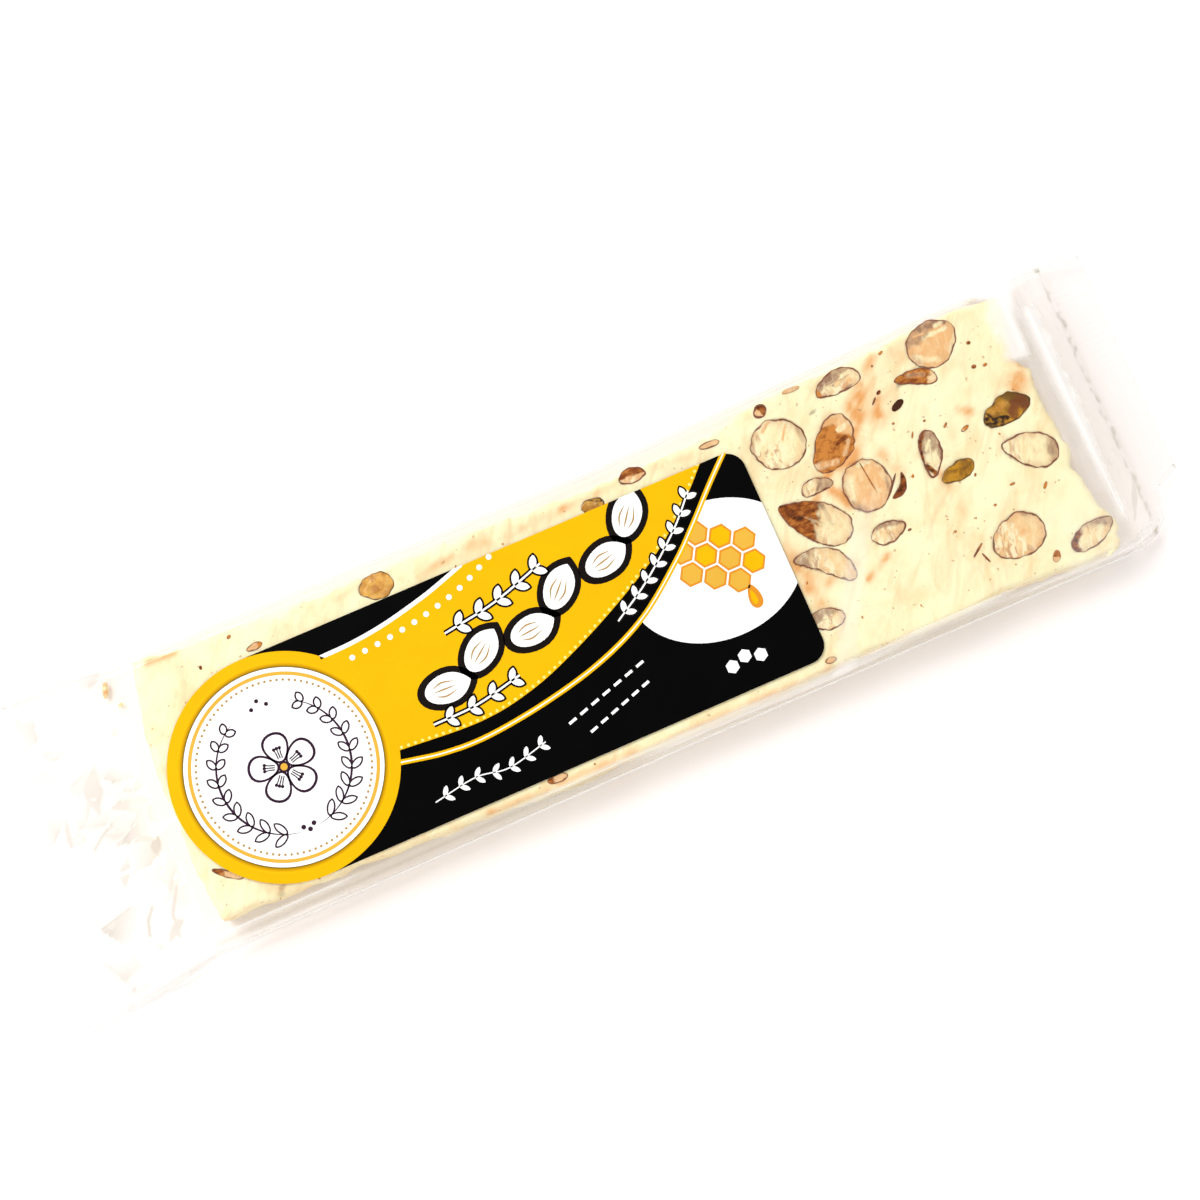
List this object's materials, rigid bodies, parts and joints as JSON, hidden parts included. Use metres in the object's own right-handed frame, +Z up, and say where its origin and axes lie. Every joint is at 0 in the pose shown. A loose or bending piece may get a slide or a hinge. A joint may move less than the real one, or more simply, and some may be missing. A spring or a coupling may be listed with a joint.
{
  "type": "wrapped nougat bar",
  "caption": "Flat bar of soft white nougat with cut almonds and pistachios, sealed in clear film with crimped ends and a glossy sticker with a round end on top.",
  "frame": {"origin": "middle of the pack on the flat surface that it lies on", "axes": "+X along the bar from the round end of the sticker to the bare end, +Y across it to the far side, +Z up out of the labelled face"},
  "size_m": [0.216, 0.059, 0.0105],
  "materials": {
    "nougat": "soft satin cream white",
    "film": "thin clear glossy film",
    "label": "glossy printed sticker",
    "almond": "cut almond with brown skin",
    "pistachio": "oily olive brown"
  },
  "bodies": {
    "root": {"clear_bag": "nougat", "label": "label", "almond_01": "almond", "almond_02": "almond", "almond_03": "almond", "almond_04": "almond", "almond_05": "almond", "almond_06": "almond", "almond_07": "almond", "almond_08": "almond", "almond_09": "almond", "almond_10": "almond", "almond_11": "almond", "almond_12": "almond", "almond_13": "almond", "almond_14": "almond", "almond_15": "almond", "almond_16": "almond", "almond_17": "almond", "pistachio_1": "pistachio", "pistachio_2": "pistachio", "pistachio_3": "pistachio", "pistachio_4": "pistachio"}
  },
  "joints": []
}
